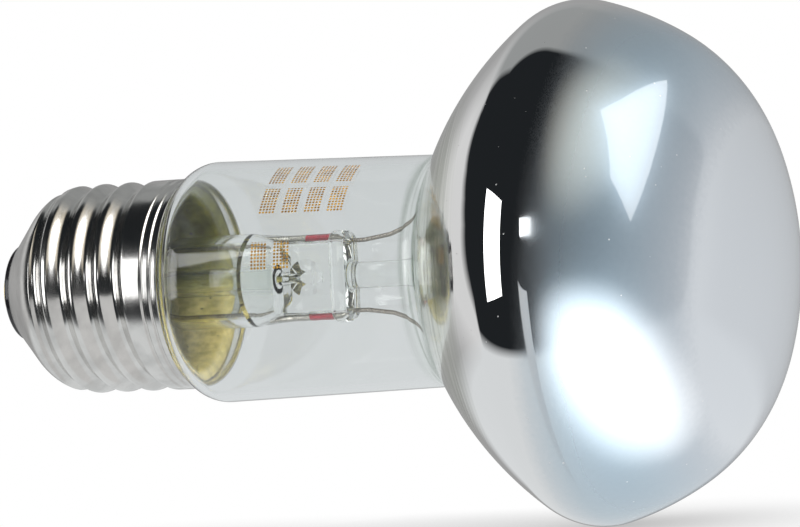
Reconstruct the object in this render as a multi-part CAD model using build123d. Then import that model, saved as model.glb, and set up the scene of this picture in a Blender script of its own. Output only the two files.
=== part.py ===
from build123d import *
import math
import os

# A reflector lamp with a screw cap. Its axis is +X, from the centre contact at the origin to the domed face.
# Sizes are in millimetres and degrees. A station is a distance along the axis from the contact's flat face.

# Glass envelope
overall_length = 101.4
bulb_diameter = 63.0
glass_wall = 0.9
equator_arc_radius = 7.8
side_arc_radius = 36.8
shoulder_arc_radius = 23.0
dome_radius = 43.6
bowl_arc_radius = 42.8
equator_to_side_angle = 16.9
side_to_shoulder_angle = 31.6
equator_to_bowl_angle = 35.3
neck_diameter = 29.9
neck_taper_angle = 1.6
bowl_fillet_radius = 2.5
neck_shoulder_radius = 4.0
neck_shoulder_setback = 3.4
collar_fillet_radius = 2.0
seal_depth = 13.2

# Screw cap shell, with the size and pitch of the common 27 mm screw cap
cap_height = 25.7
cap_diameter = 26.26
cap_wall = 0.3
thread_pitch = 3.629
thread_depth = 1.03
thread_root_width = 0.9
crest_land = 0.4
crest_bevel_width = 0.35
crest_bevel_depth = 0.25
groove_start_station = 5.75
groove_start_angle = -90.0
groove_run_out_turns = 0.25
groove_to_rim = 2.67
nose_edge_station = 1.55
nose_edge_diameter = 12.6
nose_cone_angle = 48.0
nose_arc_radius = 7.0
rim_groove_width = 0.5
rim_groove_depth = 0.25
rim_bead_width = 0.7
lip_length = 0.7
lip_flare = 0.5

# Insulator, contact, solder and weld in the nose of the cap
contact_diameter = 8.8
contact_thickness = 0.45
eyelet_diameter = 3.2
eyelet_bore = 2.0
insulator_length = 4.0
insulator_web = 2.6
insulator_ring = 2.6
insulator_step = 0.15
insulator_shoulder = 0.6
insulator_edge_radius = 0.4
solder_recess = 0.1
solder_crown = 0.25
solder_depth = 0.9
weld_setback = 0.9
weld_diameter = 1.6
weld_height = 0.6
seat_clearance = 0.03

# Basing cement
cement_gap = 0.6
cement_start_setback = 1.5
cement_rim_setback = 1.0

# Glass stem
flare_wall = 1.0
flange_width = 1.5
press_start_station = 37.8
press_length = 8.3
press_blend_length = 4.6
press_margin = 1.0
press_thickness = 4.4
press_edge_radius = 1.6
press_head_length = 2.2
press_head_overhang = 0.35
press_head_radius = 0.8
press_floor = 1.7
exhaust_diameter = 3.5
exhaust_wall = 0.6
exhaust_tip_reach = 3.0
exhaust_tip_length = 7.0
exhaust_hole_setback = 3.1
exhaust_hole_diameter = 1.6
exhaust_mouth_diameter = 4.6
arbor_diameter = 3.3
arbor_foot_diameter = 4.2
arbor_button_diameter = 4.6
arbor_to_filament = 8.5

# Leads, filament and supports
lead_spacing = 8.6
lead_gap = 0.2
outer_lead_diameter = 0.6
seal_wire_diameter = 0.7
seal_wire_setback = 2.7
seal_wire_length = 3.6
inner_lead_diameter = 0.55
lead_bend_radius = 1.2
lead_straight_length = 2.0
kink_setback = 5.4
kink_length = 1.6
kink_spread = 0.5
kink_rise = 0.6
lead_tip_length = 3.0
dome_to_filament = 31.4
filament_ring_diameter = 16.4
filament_diameter = 0.7
filament_overhang_angle = 5.0
support_diameter = 0.25
support_angles = (45.0, 0.0, -45.0)


def direction(angle):
    """Unit vector in the profile plane that leans from the radial direction toward the face."""
    return Vector(math.sin(math.radians(angle)), math.cos(math.radians(angle)))


def lean(vector):
    """The angle whose direction is along the vector."""
    return math.degrees(math.atan2(vector.X, vector.Y))


def arc(center, radius, start_angle, end_angle):
    """Arc round a centre between two normal angles. A negative radius makes a hollow arc."""
    middle_angle = (start_angle + end_angle) / 2
    return ThreePointArc(
        center + direction(start_angle) * radius,
        center + direction(middle_angle) * radius,
        center + direction(end_angle) * radius,
    )


def turned(edges):
    """Solid of revolution about the lamp's axis from the edges of a closed profile."""
    return revolve(make_face(edges), Axis.X)


def outlined(*points):
    """Edges of a closed profile with straight sides."""
    return Polyline(*points, close=True).edges()


def mirrored_face(right_half):
    """Face between the right half of an outline and its mirror image on the left."""
    left_half = [(-x, y) for x, y in right_half]
    return make_face(outlined(*left_half[::-1], *right_half))


def round_bar(points, diameter):
    """Wire of round section along straight runs with rounded bends."""
    path = FilletPolyline(*points, radius=lead_bend_radius)
    section = Plane(origin=path @ 0, z_dir=path % 0) * Circle(diameter / 2)
    return sweep(section, path=path)


def axial_bar(start, end, height, diameter):
    """Straight round bar along the axis direction, at a height above the axis."""
    section = Plane(origin=(start, 0, height), z_dir=(1, 0, 0)) * Circle(diameter / 2)
    return extrude(section, amount=end - start)


# Radii, stations and the placing that several pieces share
on_plane = (Align.CENTER, Align.CENTER, Align.MIN)
bulb_radius = bulb_diameter / 2
neck_radius = neck_diameter / 2
cap_radius = cap_diameter / 2
root_radius = cap_radius - thread_depth
bevel_radius = cap_radius - crest_bevel_depth
collar_radius = root_radius - cap_wall - cement_gap
lead_height = lead_spacing / 2
seal_station = cap_height - seal_depth
press_end_station = press_start_station + press_length
seal_wire_start_station = press_start_station + seal_wire_setback
seal_wire_end_station = seal_wire_start_station + seal_wire_length
filament_station = overall_length - dome_to_filament
filament_ring_radius = filament_ring_diameter / 2
arbor_end_station = filament_station - arbor_to_filament
lip_start_station = cap_height - lip_length
bead_end_station = lip_start_station - rim_groove_width
bead_start_station = bead_end_station - rim_bead_width
band_end_station = bead_start_station - rim_groove_width
groove_turns = (band_end_station - groove_to_rim - groove_start_station) / thread_pitch
thread_end_station = groove_start_station + thread_pitch * (groove_turns + groove_run_out_turns + 1 / 2)

# Centres of the envelope's arcs. The head is laid out from its equator and then moved to its station.
equator_center = Vector(0, bulb_radius - equator_arc_radius)
side_center = equator_center - direction(equator_to_side_angle) * (side_arc_radius - equator_arc_radius)
shoulder_center = side_center + direction(side_to_shoulder_angle) * (side_arc_radius - shoulder_arc_radius)
dome_reach = dome_radius - shoulder_arc_radius
dome_center = Vector(shoulder_center.X - math.sqrt(dome_reach**2 - shoulder_center.Y**2), 0)
bowl_center = equator_center - direction(-equator_to_bowl_angle) * (bowl_arc_radius - equator_arc_radius)

head_shift = Vector(overall_length - dome_radius - dome_center.X, 0)
equator_center = equator_center + head_shift
side_center = side_center + head_shift
shoulder_center = shoulder_center + head_shift
dome_center = dome_center + head_shift
bowl_center = bowl_center + head_shift
dome_edge_angle = lean(shoulder_center - dome_center)

neck_shoulder_center = Vector(cap_height + neck_shoulder_setback, neck_radius - neck_shoulder_radius)
neck_direction = direction(neck_taper_angle + 90)
fillet_height = neck_shoulder_radius + bowl_fillet_radius
fillet_line_start = neck_shoulder_center + direction(neck_taper_angle) * fillet_height
from_bowl = fillet_line_start - bowl_center
run_to_bowl = from_bowl.dot(neck_direction)
fillet_reach = bowl_arc_radius + bowl_fillet_radius
fillet_run = -run_to_bowl - math.sqrt(run_to_bowl**2 - from_bowl.dot(from_bowl) + fillet_reach**2)
fillet_center = fillet_line_start + neck_direction * fillet_run
bowl_edge_angle = lean(fillet_center - bowl_center)

collar_rise = collar_radius + collar_fillet_radius - neck_shoulder_center.Y
collar_run = math.sqrt((neck_shoulder_radius + collar_fillet_radius) ** 2 - collar_rise**2)
collar_center = neck_shoulder_center + Vector(-collar_run, collar_rise)
collar_edge_angle = lean(collar_center - neck_shoulder_center)


def envelope_outline(inset):
    """Edges of the envelope's outline from the seal to the dome's tip, moved into the glass by the inset."""
    collar_arc = arc(collar_center, -collar_fillet_radius - inset, 0, collar_edge_angle)
    neck_arc = arc(neck_shoulder_center, neck_shoulder_radius - inset, collar_edge_angle, neck_taper_angle)
    fillet_arc = arc(fillet_center, -bowl_fillet_radius - inset, neck_taper_angle, bowl_edge_angle)
    return [
        Line((seal_station, collar_radius - inset), collar_arc @ 0),
        collar_arc,
        neck_arc,
        Line(neck_arc @ 1, fillet_arc @ 0),
        fillet_arc,
        arc(bowl_center, bowl_arc_radius - inset, bowl_edge_angle, -equator_to_bowl_angle),
        arc(equator_center, equator_arc_radius - inset, -equator_to_bowl_angle, equator_to_side_angle),
        arc(side_center, side_arc_radius - inset, equator_to_side_angle, side_to_shoulder_angle),
        arc(shoulder_center, shoulder_arc_radius - inset, side_to_shoulder_angle, dome_edge_angle),
        arc(dome_center, dome_radius - inset, dome_edge_angle, 90),
    ]


def glass_envelope():
    tip = Line((overall_length, 0), (overall_length - glass_wall, 0))
    seal = Line((seal_station, collar_radius), (seal_station, collar_radius - glass_wall))
    return turned(envelope_outline(0) + envelope_outline(glass_wall) + [tip, seal])


# Nose cone and the arc that rounds it into the threaded barrel
nose_edge_radius = nose_edge_diameter / 2
nose_normal = direction(-nose_cone_angle)
nose_center_radius = cap_radius - nose_arc_radius
nose_edge = Vector(nose_edge_station, nose_edge_radius)
nose_center = Vector(
    (nose_edge.dot(nose_normal) - nose_arc_radius - nose_center_radius * nose_normal.Y) / nose_normal.X,
    nose_center_radius,
)


def nose_cone_radius(station, inset):
    """Radius of the nose cone at a station, moved into the shell by the inset."""
    rise = (station - nose_edge_station) * math.tan(math.radians(nose_cone_angle))
    return nose_edge_radius + rise - inset / math.cos(math.radians(nose_cone_angle))


def shell_body(inset, nose_station, rim_station):
    """Solid body under the shell's surface without its thread, from the nose to the rim."""
    radius = cap_radius - inset
    nose_arc = arc(nose_center, nose_arc_radius - inset, -nose_cone_angle, 0)
    groove_radius = radius - rim_groove_depth
    lip_radius = radius + lip_flare * (rim_station - lip_start_station) / lip_length
    nose = Polyline((nose_station, 0), (nose_station, nose_cone_radius(nose_station, inset)), nose_arc @ 0)
    rim = Polyline(
        nose_arc @ 1,
        (band_end_station, radius),
        (band_end_station + rim_groove_width / 2, groove_radius),
        (bead_start_station, radius),
        (bead_end_station, radius),
        (bead_end_station + rim_groove_width / 2, groove_radius),
        (lip_start_station, radius),
        (rim_station, lip_radius),
        (rim_station, 0),
        (nose_station, 0),
    )
    return turned([nose, nose_arc, rim])


def coiled(profile, start_station, start_angle, turns, rise_angle):
    """Profile swept along a helix of the thread's pitch, which the rise angle can open into a cone."""
    section = Plane(origin=(0, 0, 0), x_dir=(0, 0, 1), z_dir=(0, 1, 0)) * profile
    path = Helix(thread_pitch, thread_pitch * turns, cap_radius, cone_angle=rise_angle)
    about_axis = Plane(origin=(start_station, 0, 0), x_dir=(0, 1, 0), z_dir=(1, 0, 0))
    return about_axis * Rot(0, 0, start_angle) * sweep(section, path=path, is_frenet=True)


def thread_groove():
    """Groove of the rolled thread: its turns, and a tail that rises out of the metal."""
    edge = (thread_pitch - crest_land) / 2
    bevel = edge - crest_bevel_width
    root = thread_root_width / 2
    outside = cap_radius + thread_depth
    right_half = [(root, root_radius), (bevel, bevel_radius), (edge, cap_radius), (edge, outside)]
    profile = mirrored_face(right_half)
    rise_angle = math.degrees(math.atan2(thread_depth, thread_pitch * groove_run_out_turns))
    tail_station = groove_start_station + thread_pitch * groove_turns
    tail_angle = groove_start_angle + 360 * groove_turns
    turns = coiled(profile, groove_start_station, groove_start_angle, groove_turns, 0)
    tail = coiled(profile, tail_station, tail_angle, groove_run_out_turns, rise_angle)
    return [turns, tail]


def thread_ridge():
    """Ridge inside the shell that follows the crest between two turns of the groove, one wall in."""
    edge = crest_land / 2
    bevel = edge + crest_bevel_width
    foot = (thread_pitch - thread_root_width) / 2
    deep = root_radius - thread_depth
    right_half = [(foot, deep), (foot, root_radius), (bevel, bevel_radius), (edge, cap_radius)]
    profile = offset(mirrored_face(right_half), amount=-cap_wall - seat_clearance, kind=Kind.INTERSECTION)
    crest_station = groove_start_station + thread_pitch / 2
    return coiled(profile, crest_station, groove_start_angle, groove_turns - 1, 0)


def shell_inside():
    """Space inside the shell: a plain core under the thread's root, with the ridge of the crests on it."""
    nose_end = nose_edge_station - cap_wall
    rim_end = cap_height + cap_wall
    body = shell_body(cap_wall, nose_end, rim_end)
    core_radius = root_radius - cap_wall
    core_limit = turned(
        outlined(
            (nose_end, 0),
            (nose_end, core_radius),
            (thread_end_station - thread_depth, core_radius),
            (thread_end_station, cap_radius),
            (rim_end, cap_radius + lip_flare + cap_wall),
            (rim_end, 0),
        )
    )
    return (body & core_limit) + (body & thread_ridge())


def cap_shell():
    return (shell_body(0, nose_edge_station, cap_height) - thread_groove()) - shell_inside()


# Seats shared by the insulator, the contact and the solder
contact_radius = contact_diameter / 2
eyelet_radius = eyelet_diameter / 2
eyelet_bore_radius = eyelet_bore / 2
web_station = contact_thickness + insulator_web
cone_seat = cap_wall + seat_clearance


def cap_insulator():
    """Black glass cast into the nose of the shell, with a rounded shoulder that stands out of the shell's edge."""
    contact_edge = (contact_thickness, contact_radius + insulator_step)
    shoulder = (nose_edge_station - insulator_shoulder, nose_edge_radius - insulator_step)
    shell_edge = (nose_edge_station, nose_edge_radius - insulator_step)
    back_radius = nose_cone_radius(insulator_length, cone_seat)
    front = FilletPolyline(contact_edge, shoulder, shell_edge, radius=insulator_edge_radius)
    back = Polyline(
        shell_edge,
        (nose_edge_station, nose_cone_radius(nose_edge_station, cone_seat)),
        (insulator_length, back_radius),
        (insulator_length, back_radius - insulator_ring),
        (web_station, eyelet_radius),
        (contact_thickness, eyelet_radius),
        contact_edge,
    )
    return turned([front, back])


def centre_contact():
    tube_radius = eyelet_radius - seat_clearance
    return turned(
        outlined(
            (0, eyelet_bore_radius),
            (0, contact_radius),
            (contact_thickness, contact_radius),
            (contact_thickness, tube_radius),
            (web_station, tube_radius),
            (web_station, eyelet_bore_radius),
        )
    )


def centre_solder():
    radius = eyelet_bore_radius - seat_clearance
    crown_top = Vector(solder_recess, 0)
    crown_edge = Vector(solder_recess + solder_crown, radius)
    crown = TangentArc(crown_top, crown_edge, tangent=(0, 1))
    plug = Polyline(crown_edge, (solder_depth, radius), (solder_depth, 0), crown_top)
    return turned([crown, plug])


def weld_frame():
    """Plane on the inner face of the nose cone, below the axis, that faces into the cap."""
    weld_station = insulator_length + weld_setback
    radius = nose_cone_radius(weld_station, cone_seat + seat_clearance)
    normal = nose_normal * -1
    return Plane(origin=(weld_station, 0, -radius), z_dir=(normal.X, 0, -normal.Y))


def side_weld():
    return weld_frame() * Cylinder(weld_diameter / 2, weld_height, align=on_plane)


def basing_cement():
    """Ring of cement between the neck's collar and the shell, with a wider head inside the rim."""
    start = seal_station + cement_start_setback
    end = cap_height - cement_rim_setback
    barrel_seat = root_radius - cone_seat
    rim_seat = cap_radius - rim_groove_depth - cone_seat
    blank = turned(
        outlined(
            (start, 0),
            (start, barrel_seat),
            (thread_end_station, barrel_seat),
            (thread_end_station, rim_seat),
            (end, rim_seat),
            (end, 0),
        )
    )
    neck = Polyline((overall_length, 0), (seal_station, 0), (seal_station, collar_radius))
    return blank - turned(envelope_outline(0) + [neck])


# Stem: the flare's flange seals against the end of the collar, and its tube is pinched flat into the press
flare_bore_radius = lead_height + outer_lead_diameter / 2 + lead_gap
flare_radius = flare_bore_radius + flare_wall
press_width = lead_spacing + 2 * press_margin
flange_inner_radius = collar_radius - flange_width
flare_curve = flange_inner_radius - flare_radius
flare_center = Vector(seal_station + flare_curve, flange_inner_radius)
blend_station = press_start_station - press_blend_length
floor_station = press_start_station - press_floor


def across(station):
    """Plane square to the axis, with its first direction along the leads' plane."""
    return Plane(origin=(station, 0, 0), x_dir=(0, 0, 1), z_dir=(1, 0, 0))


def press_section(station, overhang):
    """Rounded section of the press, wider than its plain part by the overhang on every side."""
    return across(station) * RectangleRounded(
        press_width + 2 * overhang, press_thickness + 2 * overhang, press_edge_radius + overhang
    )


def flare_tube():
    outer_arc = arc(flare_center, -flare_curve, 90, 0)
    inner_arc = arc(flare_center, -flare_curve - flare_wall, 0, 90)
    flange_edge = [(seal_station - flare_wall, collar_radius), (seal_station, collar_radius)]
    tube_end = [(blend_station, flare_radius), (blend_station, flare_bore_radius)]
    flange = Polyline(inner_arc @ 1, *flange_edge, outer_arc @ 0)
    tube = Polyline(outer_arc @ 1, *tube_end, inner_arc @ 0)
    return turned([flange, outer_arc, tube, inner_arc])


def press_pinch():
    """Blend from the round tube to the flat press, hollow down to the floor that carries the exhaust tube."""
    outside = loft([across(blend_station) * Circle(flare_radius), press_section(press_start_station, 0)])
    floor = across(floor_station) * RectangleRounded(
        press_width - 2 * flare_wall, exhaust_diameter + 2 * seat_clearance, exhaust_diameter / 2
    )
    inside = loft([across(blend_station) * Circle(flare_bore_radius), floor])
    return outside - inside


def lead_holes():
    """Bores that the leads run through in the glass of the press, above and below the axis."""
    runs = (
        (blend_station, seal_wire_start_station, outer_lead_diameter),
        (seal_wire_start_station, seal_wire_end_station, seal_wire_diameter),
        (seal_wire_end_station, press_end_station, inner_lead_diameter),
    )
    return [
        axial_bar(start, end, height, diameter + 2 * seat_clearance)
        for start, end, diameter in runs
        for height in (lead_height, -lead_height)
    ]


def exhaust_passage():
    """Bore from the press's floor that turns and opens in a flared mouth on one flat of the press."""
    hole_station = press_start_station + exhaust_hole_setback
    bore = axial_bar(floor_station, hole_station, 0, exhaust_hole_diameter)
    side = Plane(origin=(hole_station, 0, 0), z_dir=(0, -1, 0))
    mouth = Cone(exhaust_hole_diameter / 2, exhaust_mouth_diameter / 2, press_thickness / 2, align=on_plane)
    return [bore, side * mouth]


def stem_press():
    head_start = press_end_station - press_head_length
    plain = extrude(press_section(press_start_station, 0), amount=press_length)
    head = extrude(press_section(head_start, press_head_overhang), amount=press_head_length)
    ends = head.faces().sort_by(Axis.X)
    head = fillet(ends[0].edges() + ends[-1].edges(), press_head_radius)
    glass = flare_tube() + press_pinch() + plain + head
    for cut in lead_holes() + exhaust_passage():
        glass = glass - cut
    return glass


def exhaust_tube():
    """Thin tube that stands on the press's floor, drawn to a closed point at its other end."""
    radius = exhaust_diameter / 2
    bore = radius - exhaust_wall
    tip_station = seal_station - exhaust_tip_reach
    tip_end = tip_station + exhaust_tip_length
    return turned(
        outlined(
            (tip_station, 0),
            (tip_station + exhaust_wall, exhaust_wall),
            (tip_end, radius),
            (floor_station, radius),
            (floor_station, bore),
            (tip_end, bore),
            (tip_station + 2 * exhaust_wall, 0),
        )
    )


def arbor_rod():
    """Rod that stands on the end of the press, with a flared foot and a button for the supports."""
    radius = arbor_diameter / 2
    foot_radius = arbor_foot_diameter / 2
    foot_curve = foot_radius - radius
    foot_center = Vector(press_end_station + foot_curve, foot_radius)
    foot_arc = arc(foot_center, -foot_curve, 90, 0)
    button_radius = arbor_button_diameter / 2
    button_center = Vector(arbor_end_station - button_radius, 0)
    button_arc = arc(button_center, button_radius, -math.degrees(math.acos(radius / button_radius)), 90)
    return turned(
        [
            Line((press_end_station, 0), foot_arc @ 0),
            foot_arc,
            Line(foot_arc @ 1, button_arc @ 0),
            button_arc,
            Line(button_arc @ 1, (press_end_station, 0)),
        ]
    )


def outer_lead_live():
    """Lead from the solder in the eyelet to the upper seal wire."""
    points = (
        (solder_depth, 0, 0),
        (insulator_length, 0, 0),
        (seal_station, 0, lead_height),
        (seal_wire_start_station, 0, lead_height),
    )
    return round_bar(points, outer_lead_diameter)


def outer_lead_neutral():
    """Lead from the weld on the shell to the lower seal wire."""
    frame = weld_frame()
    weld_top = frame.origin + frame.z_dir * weld_height
    clear_of_weld = weld_top + frame.z_dir * lead_straight_length
    points = (
        weld_top,
        clear_of_weld,
        (seal_station, 0, -lead_height),
        (seal_wire_start_station, 0, -lead_height),
    )
    return round_bar(points, outer_lead_diameter)


def seal_wire(side):
    return axial_bar(seal_wire_start_station, seal_wire_end_station, side * lead_height, seal_wire_diameter)


def inner_lead(side):
    """Lead from a seal wire to one end of the filament, with the small kink where it is bent outward."""
    kink_station = press_end_station + kink_setback
    kink_height = lead_height + kink_spread
    tip_station = filament_station - filament_diameter / 2 - seat_clearance
    points = (
        (seal_wire_end_station, lead_height),
        (press_end_station + lead_straight_length, lead_height),
        (kink_station, kink_height),
        (kink_station + kink_length, kink_height + kink_rise),
        (filament_station - lead_tip_length, filament_ring_radius),
        (tip_station, filament_ring_radius),
    )
    return round_bar([(station, 0, side * height) for station, height in points], inner_lead_diameter)


def filament():
    """Outer form of the coiled filament: a half ring from one inner lead to the other, behind the axis."""
    half_turn = 90 + filament_overhang_angle
    ring_plane = Plane(origin=(filament_station, 0, 0), x_dir=(0, 1, 0), z_dir=(1, 0, 0))
    path = ring_plane * CenterArc((0, 0, 0), filament_ring_radius, -half_turn, 2 * half_turn)
    section = Plane(origin=path @ 0, z_dir=path % 0) * Circle(filament_diameter / 2)
    return sweep(section, path=path)


def support_wire(angle):
    """Straight wire from the arbor's button to the filament."""
    center = Vector(arbor_end_station - arbor_button_diameter / 2, 0, 0)
    turn = math.radians(angle)
    outward = Vector(0, math.cos(turn), math.sin(turn))
    held_point = Vector(filament_station, 0, 0) + outward * filament_ring_radius
    reach = held_point - center
    along = reach.normalized()
    start = center + along * (arbor_button_diameter / 2 + seat_clearance)
    length = reach.length - (arbor_button_diameter + filament_diameter) / 2 - 2 * seat_clearance
    return extrude(Plane(origin=start, z_dir=along) * Circle(support_diameter / 2), amount=length)


pieces = {
    "glass_envelope": glass_envelope(),
    "cap_shell": cap_shell(),
    "cap_insulator": cap_insulator(),
    "centre_contact": centre_contact(),
    "centre_solder": centre_solder(),
    "side_weld": side_weld(),
    "basing_cement": basing_cement(),
    "stem_press": stem_press(),
    "exhaust_tube": exhaust_tube(),
    "arbor_rod": arbor_rod(),
    "outer_lead_live": outer_lead_live(),
    "outer_lead_neutral": outer_lead_neutral(),
    "seal_wire_live": seal_wire(1),
    "seal_wire_neutral": seal_wire(-1),
    "inner_lead_live": inner_lead(1),
    "inner_lead_neutral": inner_lead(-1),
    "filament": filament(),
}
for number, angle in enumerate(support_angles, start=1):
    pieces[f"support_wire_{number}"] = support_wire(angle)

os.makedirs("parts", exist_ok=True)
for node, shape in pieces.items():
    export_step(shape, f"parts/{node}.step")
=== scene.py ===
import math
import bpy
from mathutils import Matrix, Vector


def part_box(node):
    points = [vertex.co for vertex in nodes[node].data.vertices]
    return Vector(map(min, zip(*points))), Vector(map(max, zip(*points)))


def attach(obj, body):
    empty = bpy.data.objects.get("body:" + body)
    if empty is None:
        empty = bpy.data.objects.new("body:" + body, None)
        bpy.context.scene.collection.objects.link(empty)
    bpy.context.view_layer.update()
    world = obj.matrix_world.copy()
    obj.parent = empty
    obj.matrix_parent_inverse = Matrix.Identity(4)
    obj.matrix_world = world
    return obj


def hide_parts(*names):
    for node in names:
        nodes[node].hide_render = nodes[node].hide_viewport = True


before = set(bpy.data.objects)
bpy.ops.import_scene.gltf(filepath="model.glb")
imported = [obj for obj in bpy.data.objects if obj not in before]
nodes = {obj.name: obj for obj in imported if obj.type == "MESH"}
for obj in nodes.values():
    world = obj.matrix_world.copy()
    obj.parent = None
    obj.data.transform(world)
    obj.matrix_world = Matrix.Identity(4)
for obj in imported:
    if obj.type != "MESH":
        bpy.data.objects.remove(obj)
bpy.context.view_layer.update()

MM = 0.001

# Sizes of the glass bulb, in millimetres and degrees
glass_wall = 0.9
equator_arc_radius = 7.8
side_arc_radius = 36.8
shoulder_arc_radius = 23.0
dome_radius = 43.6
bowl_arc_radius = 42.8
equator_to_side_angle = 16.9
side_to_shoulder_angle = 31.6
equator_to_bowl_angle = 35.3
neck_radius = 14.95
neck_taper_angle = 1.6
bowl_fillet_radius = 2.5
neck_shoulder_radius = 4.0
neck_shoulder_setback = 3.4
collar_fillet_radius = 2.0
film_setback = 1.5
bulb_segments = 192

# Sizes of the screw cap
cap_wall = 0.3
cap_radius = 13.13
thread_pitch = 3.629
thread_depth = 1.03
groove_start_station = 5.75
groove_start_turn = 0.25
groove_turns = 4.1
groove_half_turns = 0.5
groove_run_in_turns = 0.3
groove_lead_in_turns = 0.2
groove_run_out_turns = 0.25
groove_run_out_stretch = 1.6
nose_edge_radius = 6.3
nose_cone_angle = 48.0
nose_arc_radius = 7.0
rim_groove_width = 0.5
rim_groove_depth = 0.25
rim_bead_width = 0.7
lip_length = 0.7
lip_flare = 0.5
lip_flare_power = 1.5
cap_segments = 176
cap_rows_count = 270

# Sizes of the cement, and of the joint between the glass rod and the press
cement_gap = 0.6
cement_clearance = 0.05
cement_segments = 128
rod_foot_radius = 2.1
joint_tolerance = 0.02

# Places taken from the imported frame, in millimetres
envelope_low, envelope_high = (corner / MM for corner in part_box("glass_envelope"))
shell_low, shell_high = (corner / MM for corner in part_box("cap_shell"))
cement_low, cement_high = (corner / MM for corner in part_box("basing_cement"))
overall_length = envelope_high.x
bulb_radius = envelope_high.z
seal_station = envelope_low.x
nose_station = shell_low.x
cap_height = shell_high.x
press_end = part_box("stem_press")[1].x / MM
floor_level = envelope_low.z
root_radius = cap_radius - thread_depth
collar_radius = root_radius - cap_wall - cement_gap
groove_length = thread_pitch * (groove_turns + groove_run_out_turns + groove_half_turns)
thread_end_station = groove_start_station + groove_length

# Where the silvering turns into the frosting, as stations
frost_start = overall_length - 23.0
frost_end = overall_length - 4.0

# Points that the lights, the window panel and the soft patches stand round
lights_middle = Vector((60, 0, 0))
window_middle = Vector((overall_length - 12, 0, 0))
patches_middle = Vector((overall_length - 13.5, -24, -13))

# The camera stands in front and to the right, level, with a slight roll
camera_azimuth = math.radians(22.5)
camera_roll = math.radians(3.05)
camera_distance = 450.0
camera_target = Vector((overall_length - 24.4, 0, 0))
camera_slide = -22.715
camera_lift = -0.06
camera_lens = 169.4
camera_clip_start = 10


# Shapes

def direction(angle):
    """Unit vector of station and radius. An angle of 0 points away from the axis and 90 to the face."""
    return Vector((math.sin(math.radians(angle)), math.cos(math.radians(angle))))


def lean(vector):
    """Angle of a vector, as direction takes it."""
    return math.degrees(math.atan2(vector.x, vector.y))


def arc(center, radius, start_angle, end_angle, steps):
    """Points round a centre, without the first one, which ends the stretch before."""
    angles = [start_angle + (end_angle - start_angle) * step / steps for step in range(1, steps + 1)]
    return [center + direction(angle) * radius for angle in angles]


def new_object(name, vertices, faces, body="root"):
    """Smooth mesh from points in millimetres. It rides on a body unless it belongs to the stage."""
    mesh = bpy.data.meshes.new(name)
    mesh.from_pydata([tuple(MM * value for value in vertex) for vertex in vertices], [], faces)
    mesh.polygons.foreach_set("use_smooth", [True] * len(mesh.polygons))
    obj = bpy.data.objects.new(name, mesh)
    bpy.context.scene.collection.objects.link(obj)
    if body:
        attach(obj, body)
    return obj


def ring(station, radius, segments):
    """Points of a circle about the axis. The radius is a number or a function of the angle."""
    if radius == 0:
        return [(station, 0, 0)]
    points = []
    for step in range(segments):
        angle = 2 * math.pi * step / segments
        reach = radius(angle) if callable(radius) else radius
        points.append((station, reach * math.cos(angle), reach * math.sin(angle)))
    return points


def skin(name, rings, segments):
    """Closed mesh through rings of points. A ring of one point is the tip of a dome."""
    starts = [0]
    for row in rings:
        starts.append(starts[-1] + len(row))
    faces = []
    for row in range(len(rings)):
        following = (row + 1) % len(rings)
        here, there = len(rings[row]), len(rings[following])
        for place in range(segments):
            beside = place + 1
            corners = [
                starts[row] + place % here,
                starts[row] + beside % here,
                starts[following] + beside % there,
                starts[following] + place % there,
            ]
            corners = list(dict.fromkeys(corners))
            if len(corners) > 2:
                faces.append(corners)
    return new_object(name, [point for row in rings for point in row], faces)


def turned(name, profile, segments):
    """Closed mesh of a profile of stations and radii, turned about the axis."""
    return skin(name, [ring(point[0], point[1], segments) for point in profile], segments)


# Outline of the glass bulb, as tangent arcs from the seal to the dome

def bulb_arcs():
    """Centre, radius, first and last angle and steps of each arc. A hollow arc's radius is negative."""
    equator = Vector((0, bulb_radius - equator_arc_radius))
    side = equator - direction(equator_to_side_angle) * (side_arc_radius - equator_arc_radius)
    shoulder = side + direction(side_to_shoulder_angle) * (side_arc_radius - shoulder_arc_radius)
    dome_reach = dome_radius - shoulder_arc_radius
    dome = Vector((shoulder.x - math.sqrt(dome_reach**2 - shoulder.y**2), 0))
    bowl = equator - direction(-equator_to_bowl_angle) * (bowl_arc_radius - equator_arc_radius)
    shift = Vector((overall_length - dome_radius - dome.x, 0))
    equator, side, shoulder, dome, bowl = (
        center + shift for center in (equator, side, shoulder, dome, bowl)
    )
    dome_edge = lean(shoulder - dome)

    neck = Vector((cap_height + neck_shoulder_setback, neck_radius - neck_shoulder_radius))
    along = direction(neck_taper_angle + 90)
    line = neck + direction(neck_taper_angle) * (neck_shoulder_radius + bowl_fillet_radius)
    away = line - bowl
    run = away.dot(along)
    reach = bowl_arc_radius + bowl_fillet_radius
    fillet = line + along * (-run - math.sqrt(run**2 - away.dot(away) + reach**2))
    bowl_edge = lean(fillet - bowl)

    rise = collar_radius + collar_fillet_radius - neck.y
    collar_reach = neck_shoulder_radius + collar_fillet_radius
    collar = neck + Vector((-math.sqrt(collar_reach**2 - rise**2), rise))
    collar_edge = lean(collar - neck)
    return {
        "collar": (collar, -collar_fillet_radius, 0, collar_edge, 10),
        "neck": (neck, neck_shoulder_radius, collar_edge, neck_taper_angle, 16),
        "fillet": (fillet, -bowl_fillet_radius, neck_taper_angle, bowl_edge, 16),
        "bowl": (bowl, bowl_arc_radius, bowl_edge, -equator_to_bowl_angle, 40),
        "equator": (equator, equator_arc_radius, -equator_to_bowl_angle, equator_to_side_angle, 30),
        "side": (side, side_arc_radius, equator_to_side_angle, side_to_shoulder_angle, 12),
        "shoulder": (shoulder, shoulder_arc_radius, side_to_shoulder_angle, dome_edge, 20),
        "dome": (dome, dome_radius, dome_edge, 90, 24),
    }


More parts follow.
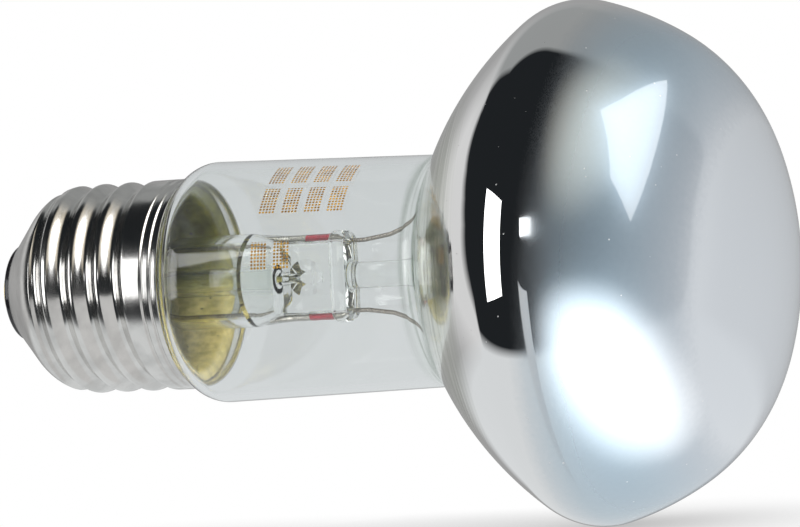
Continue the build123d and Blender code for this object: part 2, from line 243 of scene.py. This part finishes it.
def bulb_outline(inset):
    """Points from the seal to the tip of the dome, moved into the glass by the inset."""
    radius = collar_radius - inset
    arcs = bulb_arcs()
    points = [(seal_station, radius), (arcs["collar"][0].x, radius)]
    for name, (center, arc_radius, start, end, steps) in arcs.items():
        if name == "fillet":
            points.append(center + direction(start) * (arc_radius - inset))
        points += arc(center, arc_radius - inset, start, end, steps)
    points[-1] = (points[-1][0], 0)
    return points


def film_station():
    """Where the clear glass ends and the silvering starts, a little way up the bowl."""
    center, radius, start = bulb_arcs()["bowl"][:3]
    return (center + direction(start) * radius).x + film_setback


film_start = film_station()


# Nodes of the materials

def new_material(name):
    material = bpy.data.materials.new(name)
    material.use_nodes = True
    tree = material.node_tree
    return material, tree, tree.nodes["Principled BSDF"]


def link(tree, source, target):
    tree.links.new(source, target)


def object_place(tree):
    return tree.nodes.new("ShaderNodeTexCoord").outputs["Object"]


def axis_place(tree):
    split = tree.nodes.new("ShaderNodeSeparateXYZ")
    link(tree, object_place(tree), split.inputs["Vector"])
    return split.outputs["X"], split.outputs["Y"], split.outputs["Z"]


def calculate(tree, operation, *values):
    """Math node on numbers and sockets."""
    node = tree.nodes.new("ShaderNodeMath")
    node.operation = operation
    for socket, value in zip(node.inputs, values):
        if isinstance(value, (int, float)):
            socket.default_value = value
        else:
            link(tree, value, socket)
    return node.outputs["Value"]


def ramp(tree, source, stops, curve="LINEAR"):
    """Colour ramp over a value from 0 to 1. A stop's colour can be one grey level."""
    node = tree.nodes.new("ShaderNodeValToRGB")
    node.color_ramp.interpolation = curve
    elements = node.color_ramp.elements
    while len(elements) < len(stops):
        elements.new(1.0)
    for element, (position, colour) in zip(elements, stops):
        element.position = position
        element.color = (*colour, 1) if isinstance(colour, tuple) else (colour, colour, colour, 1)
    link(tree, source, node.inputs["Fac"])
    return node.outputs["Color"]


def span(tree, source, low, high, smooth=False):
    """Value mapped so that low gives 0 and high gives 1."""
    node = tree.nodes.new("ShaderNodeMapRange")
    node.interpolation_type = "SMOOTHSTEP" if smooth else "LINEAR"
    node.inputs["From Min"].default_value = low
    node.inputs["From Max"].default_value = high
    link(tree, source, node.inputs["Value"])
    return node.outputs["Result"]


def mixed(tree, factor, first, second, blend="MIX"):
    """Colour mixed from two colours or sockets."""
    node = tree.nodes.new("ShaderNodeMix")
    node.data_type = "RGBA"
    node.blend_type = blend
    for socket, value in (("Factor", factor), ("A", first), ("B", second)):
        target = next(entry for entry in node.inputs if entry.name == socket and entry.enabled)
        if isinstance(value, (int, float)):
            target.default_value = value
        elif isinstance(value, tuple):
            target.default_value = (*value, 1)
        else:
            link(tree, value, target)
    return next(entry for entry in node.outputs if entry.enabled)


def noise(tree, scale, detail, stretch=(1, 1, 1)):
    mapping = tree.nodes.new("ShaderNodeMapping")
    mapping.inputs["Scale"].default_value = stretch
    link(tree, object_place(tree), mapping.inputs["Vector"])
    node = tree.nodes.new("ShaderNodeTexNoise")
    node.inputs["Scale"].default_value = scale
    node.inputs["Detail"].default_value = detail
    link(tree, mapping.outputs["Vector"], node.inputs["Vector"])
    return node.outputs["Fac"]


def specks(tree, scale, size):
    """1 on small scattered spots with a soft edge, and 0 between them."""
    core_share = 0.6
    node = tree.nodes.new("ShaderNodeTexVoronoi")
    node.inputs["Scale"].default_value = scale
    link(tree, object_place(tree), node.inputs["Vector"])
    return span(tree, node.outputs["Distance"], size, size * core_share)


def bump(tree, shader, height, strength, distance):
    """Relief of the surface. The distance is in millimetres."""
    node = tree.nodes.new("ShaderNodeBump")
    node.inputs["Strength"].default_value = strength
    node.inputs["Distance"].default_value = distance * MM
    link(tree, height, node.inputs["Height"])
    link(tree, node.outputs["Normal"], shader.inputs["Normal"])


def mix_surface(tree, share, first, second):
    """Gives the material the first shader at a share of 0, and the second at 1."""
    mix = tree.nodes.new("ShaderNodeMixShader")
    link(tree, share, mix.inputs["Fac"])
    link(tree, first, mix.inputs[1])
    link(tree, second, mix.inputs[2])
    link(tree, mix.outputs["Shader"], tree.nodes["Material Output"].inputs["Surface"])


def let_light_through(tree, shader, share, joint=0.0):
    """Lets a share of the light through to what is behind, and shows no surface at a fused joint."""
    path = tree.nodes.new("ShaderNodeLightPath")
    clear = tree.nodes.new("ShaderNodeBsdfTransparent")
    clear.inputs["Color"].default_value = (*share, 1)
    passed = calculate(tree, "MAXIMUM", path.outputs["Is Shadow Ray"], joint)
    mix_surface(tree, passed, shader.outputs["BSDF"], clear.outputs["BSDF"])


# Materials

def from_middle(tree, place):
    """Squared distance from the middle of a dot's cell, which is 1 long."""
    offset = calculate(tree, "SUBTRACT", calculate(tree, "FRACT", place), 0.5)
    return calculate(tree, "MULTIPLY", offset, offset)


def ink_dots(tree):
    """1 on a plain pattern of dotted blocks on the front of the neck."""
    dot_pitch = 0.42 * MM
    dot_radius = 0.36
    band_dots, band_share = 7, 0.72
    block_dots, block_share = 12, 0.80
    # First and last station, then lowest and highest angle
    patches = [(39.4, 51.1, 33.0, 69.0), (39.0, 44.5, 5.0, 18.4)]
    x, y, z = axis_place(tree)
    angle = calculate(tree, "ARCTAN2", z, calculate(tree, "MULTIPLY", y, -1.0))
    mask = 0.0
    for first, last, low, high in patches:
        along = calculate(tree, "DIVIDE", calculate(tree, "SUBTRACT", x, first * MM), dot_pitch)
        around = calculate(tree, "SUBTRACT", angle, math.radians(low))
        around = calculate(tree, "MULTIPLY", around, neck_radius * MM / dot_pitch)
        spread = calculate(tree, "ADD", from_middle(tree, along), from_middle(tree, around))
        bands = calculate(tree, "FRACT", calculate(tree, "DIVIDE", along, band_dots))
        blocks = calculate(tree, "FRACT", calculate(tree, "DIVIDE", around, block_dots))
        patch = calculate(tree, "LESS_THAN", spread, dot_radius**2)
        for test in (
            calculate(tree, "LESS_THAN", bands, band_share),
            calculate(tree, "LESS_THAN", blocks, block_share),
            calculate(tree, "GREATER_THAN", along, 0.0),
            calculate(tree, "GREATER_THAN", around, 0.0),
            calculate(tree, "LESS_THAN", x, last * MM),
            calculate(tree, "LESS_THAN", angle, math.radians(high)),
        ):
            patch = calculate(tree, "MULTIPLY", patch, test)
        mask = calculate(tree, "ADD", mask, patch)
    return mask


def fused_joint(tree):
    """1 where the rod is fused to the end of the press."""
    x, y, z = axis_place(tree)
    at_end = calculate(tree, "COMPARE", x, press_end * MM, joint_tolerance * MM)
    across = calculate(tree, "MULTIPLY_ADD", y, y, calculate(tree, "MULTIPLY", z, z))
    within = calculate(tree, "LESS_THAN", across, (rod_foot_radius * MM) ** 2)
    return calculate(tree, "MULTIPLY", at_end, within)


def clear_glass(name, tint, ior, wave, folded=False, printed=False, fused=False):
    """Clear glass. It can have fine folds near the bowl, the print's dots, or a joint that isn't seen."""
    folds_start = film_start - 5
    folds_full = film_start - 3
    ink_rough = 0.6
    material, tree, shader = new_material(name)
    shader.inputs["IOR"].default_value = ior
    streaks = noise(tree, scale=60, detail=2, stretch=(3, 1, 1))
    pale = tuple((1 + value) / 2 for value in tint)
    colour = ramp(tree, streaks, [(0.3, tint), (0.7, pale)])
    if folded:
        x, _, _ = axis_place(tree)
        near_bowl = span(tree, x, folds_start * MM, folds_full * MM, smooth=True)
        rings = noise(tree, scale=1700, detail=2, stretch=(1, 0.03, 0.03))
        folds = ramp(tree, rings, [(0.38, (0.42, 0.47, 0.42)), (0.56, (0.94, 0.96, 0.94))])
        colour = mixed(tree, near_bowl, colour, folds)
    if printed:
        mask = ink_dots(tree)
        blots = noise(tree, scale=900, detail=2)
        ink = ramp(tree, blots, [(0.35, (0.22, 0.10, 0.01)), (0.65, (0.50, 0.27, 0.03))])
        colour = mixed(tree, mask, colour, ink)
        link(tree, calculate(tree, "SUBTRACT", 1.0, mask), shader.inputs["Transmission Weight"])
        link(tree, calculate(tree, "MULTIPLY", mask, ink_rough), shader.inputs["Roughness"])
    else:
        shader.inputs["Transmission Weight"].default_value = 1
        shader.inputs["Roughness"].default_value = 0
    link(tree, colour, shader.inputs["Base Color"])
    bump(tree, shader, noise(tree, scale=120, detail=1), strength=wave, distance=0.4)
    joint = fused_joint(tree) if fused else 0.0
    let_light_through(tree, shader, share=(0.94, 0.95, 0.945), joint=joint)
    return material


def film():
    """Silvered bowl that fades into a frosted face with painted shade and light, under smooth glass."""
    speckle_depth = 0.8
    fade_slant = -0.1
    streaks_start = film_start + 9
    streaks_full = film_start + 3.5
    streak_rough = (0.19, 0.19, 0.19)
    dust_colour = (0.8, 0.8, 0.8)
    dust_rough = (0.6, 0.6, 0.6)
    flat = (0.5, 0.5, 0.5)
    material, tree, shader = new_material("silvered_and_frosted")
    x, _, z = axis_place(tree)
    speckle = calculate(tree, "MULTIPLY", noise(tree, scale=1500, detail=3), speckle_depth * MM)
    slanted = calculate(tree, "MULTIPLY_ADD", z, fade_slant, calculate(tree, "ADD", x, speckle))
    frost = span(tree, slanted, frost_start * MM, frost_end * MM)
    streaks = noise(tree, scale=2400, detail=2, stretch=(1, 0.02, 0.02))
    near_neck = span(tree, x, streaks_start * MM, streaks_full * MM, smooth=True)
    dust = specks(tree, scale=480, size=0.05)
    # Painted shade and painted light: past the silver, the frost's colour is darker and bluer across the
    # middle of the face and lighter towards its tip
    silver_frost_and_painted_shade = ramp(tree, frost, [
        (0.03, 0.90),
        (0.11, (0.72, 0.76, 0.79)),
        (0.26, (0.51, 0.62, 0.70)),
        (0.49, (0.41, 0.53, 0.62)),
        (0.70, (0.45, 0.55, 0.63)),
        (0.89, (0.51, 0.56, 0.61)),
        (1.00, (0.75, 0.78, 0.81)),
    ], "B_SPLINE")
    streak_colour = ramp(tree, streaks, [(0.35, (0.50, 0.54, 0.44)), (0.65, (0.93, 0.95, 0.87))])
    silver_frost_and_painted_shade = mixed(tree, near_neck, silver_frost_and_painted_shade, streak_colour)
    link(tree, mixed(tree, dust, silver_frost_and_painted_shade, dust_colour), shader.inputs["Base Color"])
    rough = ramp(tree, frost, [
        (0.00, 0.015),
        (0.06, 0.03),
        (0.14, 0.12),
        (0.30, 0.23),
        (0.60, 0.26),
    ], "B_SPLINE")
    rough = mixed(tree, near_neck, rough, streak_rough)
    link(tree, mixed(tree, dust, rough, dust_rough), shader.inputs["Roughness"])
    metal = ramp(tree, frost, [
        (0.05, 1.00),
        (0.12, 0.95),
        (0.24, 0.80),
        (0.40, 0.62),
        (0.58, 0.42),
        (0.78, 0.18),
        (0.97, 0.00),
    ], "B_SPLINE")
    link(tree, metal, shader.inputs["Metallic"])
    shader.inputs["Specular IOR Level"].default_value = 0
    shader.inputs["Coat Weight"].default_value = 1
    shader.inputs["Coat Roughness"].default_value = 0.01
    shader.inputs["Coat IOR"].default_value = 1.8
    bump(tree, shader, mixed(tree, near_neck, flat, streaks), strength=0.5, distance=0.1)
    let_light_through(tree, shader, share=(0.60, 0.62, 0.64))
    return material


def bright_metal(name, colour, rough, streak):
    """Metal with a fine grain that changes its shade, and its roughness from smooth to worn."""
    dark_share = 0.82
    smooth, worn = rough
    material, tree, shader = new_material(name)
    shader.inputs["Metallic"].default_value = 1
    grain = noise(tree, scale=300, detail=4, stretch=streak)
    dark = tuple(value * dark_share for value in colour)
    link(tree, ramp(tree, grain, [(0.35, dark), (0.6, colour)]), shader.inputs["Base Color"])
    link(tree, ramp(tree, grain, [(0.3, worn), (0.7, smooth)]), shader.inputs["Roughness"])
    bump(tree, shader, noise(tree, scale=500, detail=3, stretch=streak), strength=0.05, distance=0.2)
    return material


def dusty_metal():
    """Inside of the cap, dulled by cement dust."""
    material, tree, shader = new_material("cap_inside")
    patches = noise(tree, scale=500, detail=4)
    dust = ramp(tree, patches, [(0.3, (0.50, 0.49, 0.40)), (0.7, (0.72, 0.70, 0.60))])
    link(tree, dust, shader.inputs["Base Color"])
    shader.inputs["Roughness"].default_value = 0.6
    bump(tree, shader, noise(tree, scale=700, detail=3), strength=0.2, distance=0.2)
    return material


def cement_material():
    """Yellow cement with dark grains in it, and painted shade that makes it darker and greener towards the
    top and lighter towards the bottom.
    """
    reach = 12
    dark_grain = (0.05, 0.05, 0.03)
    material, tree, shader = new_material("basing_cement")
    _, _, z = axis_place(tree)
    height = span(tree, z, -reach * MM, reach * MM)
    # Painted shade: by height alone, the colour is darker and greener towards the top and lighter towards
    # the bottom
    cement_with_painted_shade = ramp(tree, height, [
        (0.00, (1.00, 0.86, 0.36)),
        (0.35, (0.95, 0.82, 0.34)),
        (0.55, (0.50, 0.46, 0.12)),
        (0.80, (0.15, 0.155, 0.02)),
        (1.00, (0.10, 0.11, 0.01)),
    ])
    grain = ramp(tree, noise(tree, scale=700, detail=5), [(0.35, (0.6, 0.6, 0.5)), (0.6, 1.0)])
    clumps = ramp(tree, noise(tree, scale=180, detail=3), [(0.35, (0.75, 0.75, 0.7)), (0.65, 1.0)])
    cement_with_painted_shade = mixed(tree, 1.0, cement_with_painted_shade, grain, "MULTIPLY")
    cement_with_painted_shade = mixed(tree, 1.0, cement_with_painted_shade, clumps, "MULTIPLY")
    cement_with_painted_shade = mixed(tree, specks(tree, scale=420, size=0.12), cement_with_painted_shade, dark_grain)
    link(tree, cement_with_painted_shade, shader.inputs["Base Color"])
    shader.inputs["Roughness"].default_value = 0.8
    bump(tree, shader, noise(tree, scale=900, detail=4), strength=0.5, distance=0.3)
    return material


def black_glass():
    """Glass of the insulator, a little uneven."""
    material, tree, shader = new_material("black_glass")
    clouds = noise(tree, scale=400, detail=3)
    shade = ramp(tree, clouds, [(0.3, (0.006, 0.006, 0.007)), (0.7, (0.02, 0.02, 0.022))])
    link(tree, shade, shader.inputs["Base Color"])
    shader.inputs["Roughness"].default_value = 0.12
    bump(tree, shader, noise(tree, scale=250, detail=2), strength=0.1, distance=0.3)
    return material


# The glass bulb: clear neck with its print, and coated head

outer = bulb_outline(0)
inner = bulb_outline(glass_wall)
bulb = turned("bulb_glass", outer + inner[::-1], bulb_segments)
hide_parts("glass_envelope")
neck_look = {"tint": (0.96, 0.97, 0.965), "ior": 1.5, "wave": 0.02, "folded": True}
bulb.data.materials.append(clear_glass("neck_glass", **neck_look, printed=True))
bulb.data.materials.append(clear_glass("neck_inside", **neck_look))
bulb.data.materials.append(film())
neck_outside, neck_inside, coated_head = range(3)
outer_faces = (len(outer) - 1) * bulb_segments
for face in bulb.data.polygons:
    if face.center.x > film_start * MM:
        face.material_index = coated_head
    else:
        face.material_index = neck_outside if face.index < outer_faces else neck_inside


# The screw cap, with the rounded rolled thread

def shell_radius(station):
    """Radius of the shell without its thread."""
    turn = math.radians(nose_cone_angle)
    corner_radius = cap_radius - nose_arc_radius
    arc_start_radius = corner_radius + nose_arc_radius * math.cos(turn)
    arc_start = nose_station + (arc_start_radius - nose_edge_radius) / math.tan(turn)
    corner = arc_start + nose_arc_radius * math.sin(turn)
    lip_start = cap_height - lip_length
    bead_end = lip_start - rim_groove_width
    band_end = bead_end - rim_bead_width - rim_groove_width
    if station < arc_start:
        return nose_edge_radius + (station - nose_station) * math.tan(turn)
    if station < corner:
        return corner_radius + math.sqrt(nose_arc_radius**2 - (station - corner) ** 2)
    for start in (band_end, bead_end):
        if start < station < start + rim_groove_width:
            across = (station - start) / rim_groove_width
            return cap_radius - rim_groove_depth * math.sin(math.pi * across)
    if station > lip_start:
        return cap_radius + lip_flare * ((station - lip_start) / lip_length) ** lip_flare_power
    return cap_radius


def thread_radius(station, angle):
    """Radius under the rolled groove, which fades in at the nose and out at the band."""
    turn = (angle / (2 * math.pi) + groove_start_turn) % 1
    phase = (station - groove_start_station) / thread_pitch - turn
    travel = round(phase) + turn
    offset = phase - round(phase)
    start_fade = (travel + groove_lead_in_turns) / groove_run_in_turns
    left_over = groove_turns + groove_run_out_turns - travel
    end_fade = left_over / (groove_run_out_stretch * groove_run_out_turns)
    fade = min(max(start_fade, 0), 1) * min(max(end_fade, 0), 1)
    fade = fade * fade * (3 - 2 * fade)
    groove = 0.5 + 0.5 * math.cos(2 * math.pi * offset)
    return cap_radius - thread_depth * fade * groove


def cap_rings():
    """Rings from the nose to the lip on the outside, and back to the nose on the inside."""
    rings = []
    for step in range(cap_rows_count + 1):
        station = nose_station + (cap_height - nose_station) * step / cap_rows_count
        plain = shell_radius(station)
        rings.append(ring(station, lambda angle: min(plain, thread_radius(station, angle)), cap_segments))
    core_radius = root_radius - cap_wall
    nose_inside = nose_edge_radius - cap_wall / math.cos(math.radians(nose_cone_angle))
    core_start = nose_station + (core_radius - nose_inside) / math.tan(math.radians(nose_cone_angle))
    inside = [
        (cap_height, cap_radius + lip_flare - cap_wall),
        (cap_height - lip_length, cap_radius - cap_wall),
        (thread_end_station, cap_radius - cap_wall),
        (thread_end_station - thread_depth, core_radius),
        (core_start + 2 * thread_depth, core_radius),
        (core_start - thread_depth, core_radius - 2 * thread_depth),
        (nose_station, nose_inside),
    ]
    return rings + [ring(station, radius, cap_segments) for station, radius in inside]


# How the grain of a metal is stretched
drawn = (20, 1, 1)
even = (1, 1, 1)

cap = skin("screw_cap", cap_rings(), cap_segments)
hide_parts("cap_shell")
cap.data.materials.append(bright_metal("cap_metal", (0.80, 0.79, 0.77), rough=(0.13, 0.24), streak=even))
cap.data.materials.append(dusty_metal())

# The last four rows of faces inside, from the end of the thread to the nose, are dusty
dusty_inside = 1
first_dusty_row = cap_rows_count + 3
last_dusty_row = cap_rows_count + 6
for face in cap.data.polygons:
    if first_dusty_row <= face.index // cap_segments <= last_dusty_row:
        face.material_index = dusty_inside


# The ring of cement behind the glass of the collar

def cement_profile():
    """Profile along the glass on the inside and the shell on the outside."""
    along_glass = bulb_outline(-cement_clearance)
    touching = [point for point in along_glass if cement_low.x < point[0] < cement_high.x]
    outside = cement_high.z - cement_clearance
    core = root_radius - cap_wall - cement_clearance
    return [
        (cement_low.x, touching[0][1]),
        *touching,
        (cement_high.x, outside),
        (thread_end_station, outside),
        (thread_end_station, core),
        (cement_low.x, core),
    ]


cement = turned("cement_ring", cement_profile(), cement_segments)
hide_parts("basing_cement")
cement.data.materials.append(cement_material())

# Materials of the pieces shown as they are in the frame
stem_glass = clear_glass("stem_glass", (0.95, 0.97, 0.955), ior=1.52, wave=0.03, fused=True)
red_wire = bright_metal("seal_wire_copper", (0.40, 0.03, 0.05), rough=(0.3, 0.45), streak=drawn)
nickel = bright_metal("lead_nickel", (0.42, 0.39, 0.35), rough=(0.15, 0.3), streak=drawn)
tungsten = bright_metal("tungsten", (0.25, 0.25, 0.26), rough=(0.3, 0.5), streak=even)
solder = bright_metal("solder", (0.6, 0.6, 0.6), rough=(0.3, 0.5), streak=even)
looks = {
    "cap_insulator": black_glass(),
    "centre_contact": bright_metal("contact_brass", (0.75, 0.6, 0.3), rough=(0.2, 0.4), streak=even),
    "centre_solder": solder,
    "side_weld": solder,
    "stem_press": stem_glass,
    "exhaust_tube": stem_glass,
    "arbor_rod": stem_glass,
    "outer_lead_live": nickel,
    "outer_lead_neutral": nickel,
    "seal_wire_live": red_wire,
    "seal_wire_neutral": red_wire,
    "inner_lead_live": nickel,
    "inner_lead_neutral": nickel,
    "filament": tungsten,
    "support_wire_1": tungsten,
    "support_wire_2": tungsten,
    "support_wire_3": tungsten,
}
for node, material in looks.items():
    nodes[node].data.materials.clear()
    nodes[node].data.materials.append(material)


# Stage: floor, surroundings and lights

def floor():
    """White to the camera, with a soft shadow close to the lamp."""
    reach = 3000
    shadow_reach = 32
    places = [(-reach, -reach), (reach, -reach), (reach, reach), (-reach, reach)]
    obj = new_object("floor", [(x, y, floor_level) for x, y in places], [(0, 1, 2, 3)], body=None)
    material, tree, shader = new_material("floor")
    shader.inputs["Roughness"].default_value = 0.7
    clouds = noise(tree, scale=3, detail=2)
    link(tree, ramp(tree, clouds, [(0.3, 0.80), (0.7, 0.84)]), shader.inputs["Base Color"])
    path = tree.nodes.new("ShaderNodeLightPath")
    white = tree.nodes.new("ShaderNodeEmission")
    shadow = tree.nodes.new("ShaderNodeAmbientOcclusion")
    shadow.samples = 8
    shadow.inputs["Distance"].default_value = shadow_reach * MM
    link(tree, ramp(tree, shadow.outputs["AO"], [(0.0, 0.50), (0.85, 1.0)]), white.inputs["Color"])
    mix_surface(tree, path.outputs["Is Camera Ray"], shader.outputs["BSDF"], white.outputs["Emission"])
    obj.data.materials.append(material)
    obj.visible_diffuse = False
    obj.visible_glossy = False
    obj.visible_transmission = False
    obj.visible_shadow = False


def surroundings():
    """White to the camera and pale through glass. In mirrors, a dark front with a pale back and table."""
    white = (1.0, 1.0, 1.0)
    dark_front = (0.014, 0.016, 0.018)
    upper_wall = (0.31, 0.32, 0.32)
    table_top = (0.70, 0.72, 0.73)
    through_glass = (0.66, 0.685, 0.695)
    fill_above = (0.72, 0.73, 0.74)
    fill_below = (1.08, 1.09, 1.11)
    wall_slant = -0.6
    upper_wall_edge = (0.35, 0.60)
    back_slant = -0.35
    back_blur = 0.03
    table_slant = 0.4
    table_edge = (0.23, 0.31)
    fill_edge = (0.2, -0.8)
    world = bpy.data.worlds.new("studio")
    bpy.context.scene.world = world
    world.use_nodes = True
    tree = world.node_tree
    place = tree.nodes.new("ShaderNodeTexCoord")
    split = tree.nodes.new("ShaderNodeSeparateXYZ")
    link(tree, place.outputs["Generated"], split.inputs["Vector"])
    y, z = split.outputs["Y"], split.outputs["Z"]
    along_wall = calculate(tree, "MULTIPLY_ADD", z, wall_slant, y)
    wall = ramp(tree, along_wall, [(0.28, 0.68), (0.50, 0.42), (0.65, 0.35)])
    wall = mixed(tree, span(tree, z, *upper_wall_edge), wall, upper_wall)
    edge = ramp(tree, z, [
        (0.00, 0.10),
        (0.15, 0.15),
        (0.23, 0.205),
        (0.30, 0.28),
        (0.41, 0.45),
        (0.48, 0.455),
        (0.64, 0.35),
        (0.78, 0.23),
        (0.95, 0.235),
    ])
    past_edge = calculate(tree, "MULTIPLY_ADD", calculate(tree, "MINIMUM", z, 0.0), back_slant, y)
    back = span(tree, calculate(tree, "SUBTRACT", past_edge, edge), -back_blur, back_blur)
    front = calculate(tree, "MINIMUM", y, 0.0)
    below = calculate(tree, "MULTIPLY", z, -1.0)
    table = span(tree, calculate(tree, "MULTIPLY_ADD", front, table_slant, below), *table_edge)
    studio = mixed(tree, back, dark_front, wall)
    studio = mixed(tree, table, studio, table_top)
    path = tree.nodes.new("ShaderNodeLightPath")
    fill = mixed(tree, span(tree, z, *fill_edge), fill_above, fill_below)
    seen = mixed(tree, path.outputs["Is Diffuse Ray"], studio, fill)
    seen = mixed(tree, path.outputs["Is Transmission Ray"], seen, through_glass)
    seen = mixed(tree, path.outputs["Is Camera Ray"], seen, white)
    background = tree.nodes["Background"]
    link(tree, seen, background.inputs["Color"])
    background.inputs["Strength"].default_value = 1


def toward(azimuth, elevation):
    """Unit vector to a place round the lamp. Azimuth 0 is in front, positive to the right."""
    turn, tilt = math.radians(azimuth), math.radians(elevation)
    return Vector((math.sin(turn) * math.cos(tilt), -math.cos(turn) * math.cos(tilt), math.sin(tilt)))


def softbox(name, azimuth, elevation, distance, width, height, radiance, colour=(1, 1, 1), mirrored=True):
    """Rectangular light that faces the lamp."""
    away = toward(azimuth, elevation)
    data = bpy.data.lights.new(name, "AREA")
    data.shape = "RECTANGLE"
    data.size = width * MM
    data.size_y = height * MM
    data.energy = radiance * math.pi * data.size * data.size_y
    data.color = colour
    obj = bpy.data.objects.new(name, data)
    bpy.context.scene.collection.objects.link(obj)
    obj.location = (lights_middle + away * distance) * MM
    obj.rotation_euler = away.to_track_quat("Z", "Y").to_euler()
    obj.visible_glossy = mirrored
    obj.visible_transmission = mirrored


def glowing(name, vertices, faces, radiance):
    """Light panel that is seen in reflections only."""
    obj = new_object(name, vertices, faces, body=None)
    material = bpy.data.materials.new(name)
    material.use_nodes = True
    tree = material.node_tree
    glow = tree.nodes.new("ShaderNodeEmission")
    glow.inputs["Strength"].default_value = radiance
    link(tree, glow.outputs["Emission"], tree.nodes["Material Output"].inputs["Surface"])
    obj.data.materials.append(material)
    obj.visible_camera = False
    obj.visible_diffuse = False
    obj.visible_transmission = False
    obj.visible_shadow = False
    return obj, tree, glow


def see_through(tree, glow, share):
    """Makes a share of the panel clear."""
    clear = tree.nodes.new("ShaderNodeBsdfTransparent")
    mix_surface(tree, share, glow.outputs["Emission"], clear.outputs["BSDF"])


def window_panel():
    """Window up on the right, whose outline shows on the smooth glass of the face."""
    distance = 700
    radiance = 3.2
    # Azimuth and elevation of each corner
    corners = [(65, 63), (135, 50), (95, 44), (57, 15), (49, 34)]
    vertices = [window_middle + toward(*corner) * distance for corner in corners]
    glowing("window_panel", vertices, [tuple(range(len(corners)))], radiance)


def soft_patch(name, middle, along, distance, half_length, half_width, radiance, colour, core):
    """Oval light patch that fades from its core to its edge."""
    spokes = 64
    middle = Vector(middle).normalized()
    across = middle.cross(Vector(along)).normalized()
    along = across.cross(middle)
    angles = [2 * math.pi * spoke / spokes for spoke in range(spokes)]
    edge = [(math.cos(angle), math.sin(angle), 0) for angle in angles]
    obj, tree, glow = glowing(name, edge, [tuple(range(spokes))], radiance)
    place = patches_middle + middle * distance
    turn = Matrix((along * half_length, across * half_width, middle)).transposed().to_4x4()
    obj.matrix_world = Matrix.Translation(place * MM) @ turn
    glow.inputs["Color"].default_value = (*colour, 1)
    length = tree.nodes.new("ShaderNodeVectorMath")
    length.operation = "LENGTH"
    link(tree, object_place(tree), length.inputs[0])
    see_through(tree, glow, span(tree, length.outputs["Value"], core * MM, MM, smooth=True))


def card(name, station, inner_radius, outer_radius, first_angle, last_angle):
    """Pale card across the axis. It hides the lit table on the cap's side, and is clear from the other."""
    radiance = 0.62
    steps = 16
    step_angle = math.radians(last_angle - first_angle) / steps
    angles = [math.radians(first_angle) + step_angle * step for step in range(steps + 1)]
    edges = []
    for reach in (inner_radius, outer_radius):
        edges.append([(station, -reach * math.cos(angle), -reach * math.sin(angle)) for angle in angles])
    outline = edges[0] + edges[1][::-1]
    _, tree, glow = glowing(name, outline, [tuple(range(len(outline)))], radiance)
    see_through(tree, glow, tree.nodes.new("ShaderNodeNewGeometry").outputs["Backfacing"])


floor()
surroundings()
softbox("window_left", azimuth=-43, elevation=8, distance=900, width=500, height=620, radiance=2.6)
softbox("window_small", azimuth=12, elevation=16, distance=900, width=150, height=120, radiance=2.0)
softbox(
    "light_through_face",
    azimuth=65,
    elevation=28,
    distance=27,
    width=30,
    height=30,
    radiance=26.0,
    colour=(1.0, 0.91, 0.66),
    mirrored=False,
)
window_panel()
card(
    "card_at_cap",
    station=cap_height + 5,
    inner_radius=15.4,
    outer_radius=36,
    first_angle=26,
    last_angle=110,
)
card(
    "card_at_bowl",
    station=overall_length - 20.9,
    inner_radius=bulb_radius + 0.1,
    outer_radius=250,
    first_angle=5,
    last_angle=175,
)
soft_patch(
    "lit_table",
    middle=(0.63, -0.30, -0.715),
    along=(-0.04, 0.94, -0.37),
    distance=90,
    half_length=150,
    half_width=60,
    radiance=7.0,
    colour=(1, 1, 1),
    core=0.0,
)
soft_patch(
    "lit_wall",
    middle=(0.48, -0.30, 0.83),
    along=(-0.16, 0.93, 0.36),
    distance=900,
    half_length=1000,
    half_width=300,
    radiance=1.15,
    colour=(1.0, 0.91, 0.76),
    core=0.1,
)


# Camera

def camera():
    """Camera turned to its azimuth and rolled, then moved sideways and up in its own picture."""
    back = toward(math.degrees(camera_azimuth), 0)
    level = Vector((math.cos(camera_azimuth), math.sin(camera_azimuth), 0))
    up = Vector((0, 0, 1))
    right = level * math.cos(camera_roll) - up * math.sin(camera_roll)
    top = level * math.sin(camera_roll) + up * math.cos(camera_roll)
    place = camera_target + right * camera_slide + top * camera_lift + back * camera_distance
    data = bpy.data.cameras.new("camera")
    data.lens = camera_lens
    data.clip_start = camera_clip_start * MM
    obj = bpy.data.objects.new("camera", data)
    bpy.context.scene.collection.objects.link(obj)
    turn = Matrix((right, top, back)).transposed()
    obj.matrix_world = Matrix.Translation(place * MM) @ turn.to_4x4()
    bpy.context.scene.camera = obj


camera()
bpy.context.scene.cycles.max_bounces = 32
bpy.context.scene.cycles.transmission_bounces = 32
bpy.context.scene.cycles.glossy_bounces = 16
bpy.context.scene.view_settings.view_transform = "Standard"
